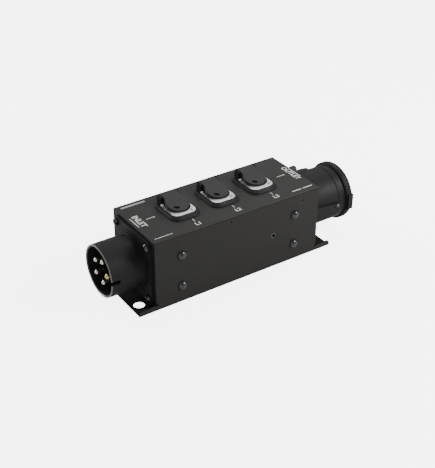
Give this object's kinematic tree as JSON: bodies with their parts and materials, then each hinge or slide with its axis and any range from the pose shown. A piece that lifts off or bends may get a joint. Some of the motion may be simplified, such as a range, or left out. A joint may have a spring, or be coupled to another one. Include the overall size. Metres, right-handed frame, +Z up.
{
  "type": "portable power distribution box",
  "caption": "Portable three-phase power splitter: folded black steel case with a pin inlet, a lidded pass-through socket and capped single-phase outlets on its top",
  "frame": {"origin": "middle of the case's flat underside, on the surface that it stands on", "axes": "+X from the pin inlet end to the lidded socket end, +Y from the front wall to the rear wall, +Z up"},
  "size_m": [0.3003, 0.0855, 0.0929],
  "materials": {
    "powder_coat": "fine-textured black powder coat",
    "moulded_black": "moulded, fine spark texture",
    "cap_black": "moulded hard rubber",
    "satin_nickel": "satin nickel plate",
    "zinc_steel": "bright zinc plate",
    "black_screw": "black oxide",
    "contact_nickel": "nickel plated brass, bright",
    "brass": "plain brass",
    "seal_rubber": "soft rubber",
    "wire_brown": "PVC insulation",
    "wire_black": "PVC insulation",
    "wire_grey": "PVC insulation",
    "wire_blue": "PVC insulation",
    "wire_green": "PVC insulation"
  },
  "bodies": {
    "case": {"base_tray": "powder_coat", "top_cover": "powder_coat", "earth_bolt": "black_screw", "wall_screw_1": "black_screw", "wall_screw_2": "black_screw", "wall_screw_3": "black_screw", "wall_screw_4": "black_screw", "inlet_screw_1": "black_screw", "inlet_screw_2": "black_screw", "inlet_screw_3": "black_screw", "inlet_screw_4": "black_screw", "socket_screw_1": "black_screw", "socket_screw_2": "black_screw", "socket_screw_3": "black_screw", "socket_screw_4": "black_screw", "outlet_hinge_pin_L1": "black_screw", "outlet_hinge_pin_L2": "black_screw", "outlet_hinge_pin_L3": "black_screw", "inlet_housing": "moulded_black", "inlet_contact_carrier": "moulded_black", "socket_housing": "moulded_black", "socket_contact_carrier": "moulded_black", "outlet_frame_L1": "moulded_black", "outlet_frame_L2": "moulded_black", "outlet_frame_L3": "moulded_black", "outlet_insert_L1": "moulded_black", "outlet_insert_L2": "moulded_black", "outlet_insert_L3": "moulded_black", "latch_screw": "zinc_steel", "outlet_screw_L1_1": "zinc_steel", "outlet_screw_L1_2": "zinc_steel", "outlet_screw_L2_1": "zinc_steel", "outlet_screw_L2_2": "zinc_steel", "outlet_screw_L3_1": "zinc_steel", "outlet_screw_L3_2": "zinc_steel", "socket_lid_hinge_pin": "zinc_steel", "socket_lid_spring": "zinc_steel", "inlet_pin_N": "contact_nickel", "inlet_pin_L3": "contact_nickel", "inlet_pin_L2": "contact_nickel", "inlet_pin_L1": "contact_nickel", "inlet_pin_PE": "brass", "socket_contact_PE": "brass", "socket_contact_N": "brass", "socket_contact_L3": "brass", "socket_contact_L2": "brass", "socket_contact_L1": "brass", "outlet_flange_L1": "satin_nickel", "outlet_flange_L2": "satin_nickel", "outlet_flange_L3": "satin_nickel", "wire_L1": "wire_brown", "wire_L2": "wire_black", "wire_L3": "wire_grey", "wire_N": "wire_blue", "wire_PE": "wire_green"},
    "outlet_cap_L1": {"outlet_cap_L1": "cap_black"},
    "outlet_cap_L2": {"outlet_cap_L2": "cap_black"},
    "outlet_cap_L3": {"outlet_cap_L3": "cap_black"},
    "socket_lid": {"socket_lid": "moulded_black", "socket_lid_gasket": "seal_rubber"}
  },
  "joints": [
    {"name": "outlet_cap_hinge_L1", "type": "hinge", "parent": "case", "child": "outlet_cap_L1", "pos_m": [-0.048, 0.019, 0.0887], "axis": [-1, 0, 0], "range_deg": [0, 110], "stiffness_Nm_per_rad": 0.006, "springref_deg": -20.05},
    {"name": "outlet_cap_hinge_L2", "type": "hinge", "parent": "case", "child": "outlet_cap_L2", "pos_m": [0, 0.019, 0.0887], "axis": [-1, 0, 0], "range_deg": [0, 110], "stiffness_Nm_per_rad": 0.006, "springref_deg": -20.05},
    {"name": "outlet_cap_hinge_L3", "type": "hinge", "parent": "case", "child": "outlet_cap_L3", "pos_m": [0.048, 0.019, 0.0887], "axis": [-1, 0, 0], "range_deg": [0, 110], "stiffness_Nm_per_rad": 0.006, "springref_deg": -20.05},
    {"name": "socket_lid_hinge", "type": "hinge", "parent": "case", "child": "socket_lid", "pos_m": [0.14135, 0.0346, 0.0408], "axis": [0, 0, 1], "range_deg": [0, 105], "stiffness_Nm_per_rad": 0.03, "springref_deg": -17.19}
  ]
}
